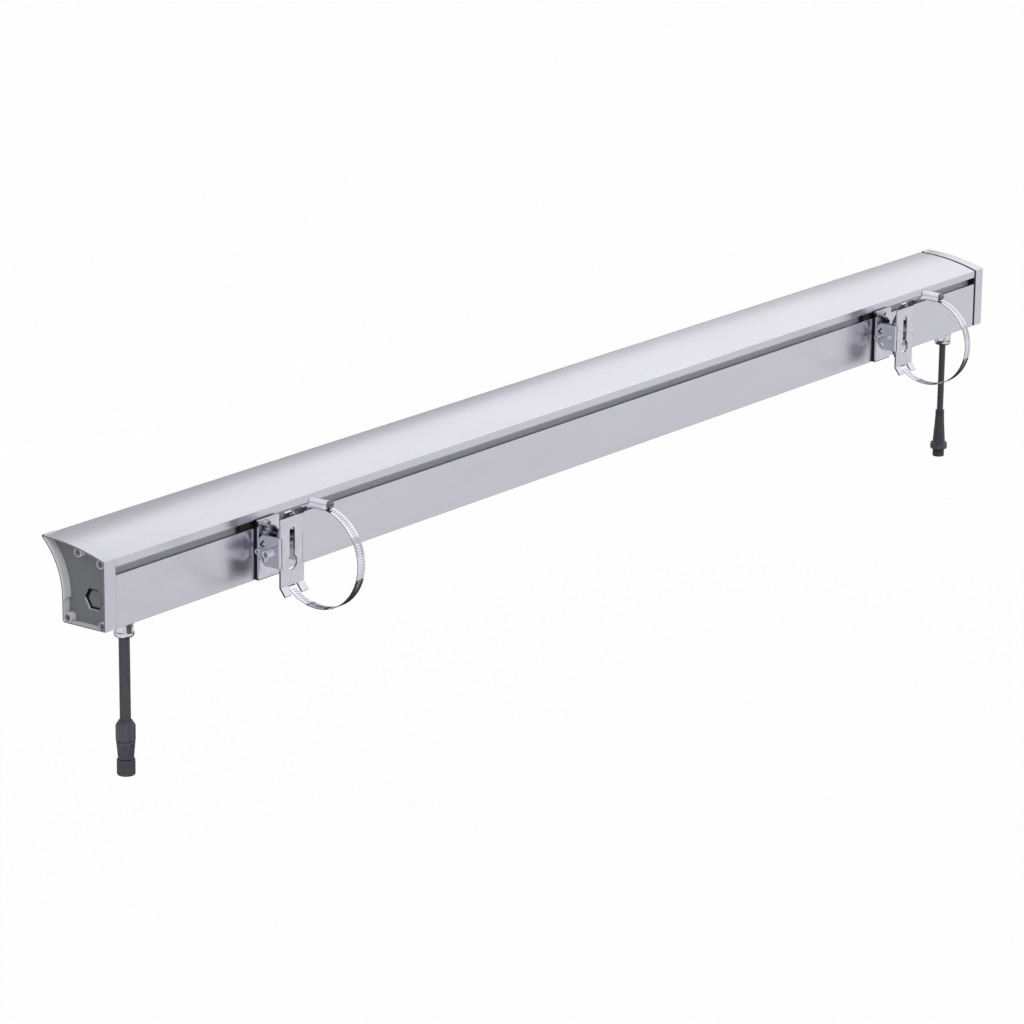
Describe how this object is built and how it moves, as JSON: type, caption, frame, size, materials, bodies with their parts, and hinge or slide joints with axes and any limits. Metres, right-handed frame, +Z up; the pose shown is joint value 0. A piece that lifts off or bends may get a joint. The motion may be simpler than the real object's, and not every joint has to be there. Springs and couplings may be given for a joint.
{
  "type": "linear floodlight",
  "caption": "Long extruded lamp with a crowned top and hollow front, cable glands below, and tilting pipe clamps with perforated bands on its grooved back.",
  "frame": {"origin": "on the axis of the pipe that the two clamps hold, midway between the clamps", "axes": "+X along the lamp from the fed end to the through end, +Y from the pipe through the lamp to its lit front, +Z up"},
  "size_m": [1.626, 0.2023, 0.2575],
  "materials": {
    "aluminium": "satin anodised",
    "cap_paint": "fine satin",
    "rubber": "matte",
    "steel": "polished stainless",
    "dark_steel": "black oxide",
    "plated_screw": "bright",
    "nickel": "nickel plated",
    "cable_sheath": "satin",
    "dark_plastic": "satin",
    "contact_metal": "plated",
    "clear_cover": "clear",
    "white_plastic": "satin",
    "phosphor": "satin",
    "reflector_metal": "polished",
    "driver_case": "satin"
  },
  "bodies": {
    "left_clamp": {"clamp_plate_left": "steel", "band_left": "steel", "worm_case_left": "steel"},
    "worm_left": {"worm_screw_left": "plated_screw"},
    "left_bracket": {"base_plate_left": "steel", "slot_pad_left": "rubber", "slot_nut_left": "dark_steel", "slot_screw_left": "steel", "pivot_bolt_left": "steel", "pivot_nut_left": "steel", "pivot_pin_left": "steel", "lock_screw_left": "steel"},
    "right_bracket": {"base_plate_right": "steel", "slot_pad_right": "rubber", "slot_nut_right": "dark_steel", "slot_screw_right": "steel", "pivot_bolt_right": "steel", "pivot_nut_right": "steel", "pivot_pin_right": "steel", "lock_screw_right": "steel"},
    "right_clamp": {"clamp_plate_right": "steel", "band_right": "steel", "worm_case_right": "steel"},
    "worm_right": {"worm_screw_right": "plated_screw"},
    "coupling_ring": {"coupling_ring_left": "dark_plastic"},
    "luminaire": {"housing": "aluminium", "end_cap_left": "cap_paint", "end_cap_right": "cap_paint", "cap_seal_left": "rubber", "cap_seal_right": "rubber", "cap_screws": "steel", "vent_rings": "white_plastic", "vent_plugs": "cap_paint", "vent_seals": "rubber", "cover_lens": "clear_cover", "lens_seals": "rubber", "led_boards": "white_plastic", "led_chips": "phosphor", "optic_strip": "clear_cover", "reflector": "reflector_metal", "inner_screws": "steel", "driver": "driver_case", "driver_tray": "reflector_metal", "terminal_blocks": "white_plastic", "inner_wires": "driver_case", "gland_body_left": "nickel", "gland_body_right": "nickel", "gland_nut_left": "nickel", "gland_nut_right": "nickel", "gland_locknuts": "nickel", "gland_seals": "rubber", "cable_left": "cable_sheath", "cable_right": "cable_sheath", "backnut_left": "dark_plastic", "plug_body_left": "dark_plastic", "contact_insert_left": "dark_plastic", "contacts_left": "contact_metal", "plug_body_right": "dark_plastic", "plug_nose_right": "dark_plastic", "contacts_right": "contact_metal"}
  },
  "joints": [
    {"name": "tilt_left", "type": "hinge", "parent": "left_clamp", "child": "left_bracket", "pos_m": [-0.575, 0.0462, -0.0002], "axis": [1, 0, 0], "range_deg": [-42, 0]},
    {"name": "slide_left", "type": "slide", "parent": "left_bracket", "child": "luminaire", "axis": [1, 0, 0], "range_m": [-0.3, 0.18]},
    {"name": "slide_right", "type": "slide", "parent": "luminaire", "child": "right_bracket", "axis": [1, 0, 0], "range_m": [-0.3, 0.2]},
    {"name": "tilt_right", "type": "hinge", "parent": "right_bracket", "child": "right_clamp", "pos_m": [0.575, 0.0462, -0.0002], "axis": [1, 0, 0], "range_deg": [0, 42]},
    {"name": "worm_turn_left", "type": "hinge", "parent": "left_clamp", "child": "worm_left", "pos_m": [-0.575, 0, 0.0558], "axis": [0, 1, 0], "continuous": true},
    {"name": "worm_turn_right", "type": "hinge", "parent": "right_clamp", "child": "worm_right", "pos_m": [0.575, 0, 0.0558], "axis": [0, 1, 0], "continuous": true},
    {"name": "ring_turn", "type": "hinge", "parent": "luminaire", "child": "coupling_ring", "pos_m": [-0.761, 0.093, -0.1875], "axis": [0, 0, -1], "continuous": true}
  ],
  "couplings": [
    {"joint": "tilt_right", "follows": "tilt_left", "ratio": -1}
  ]
}
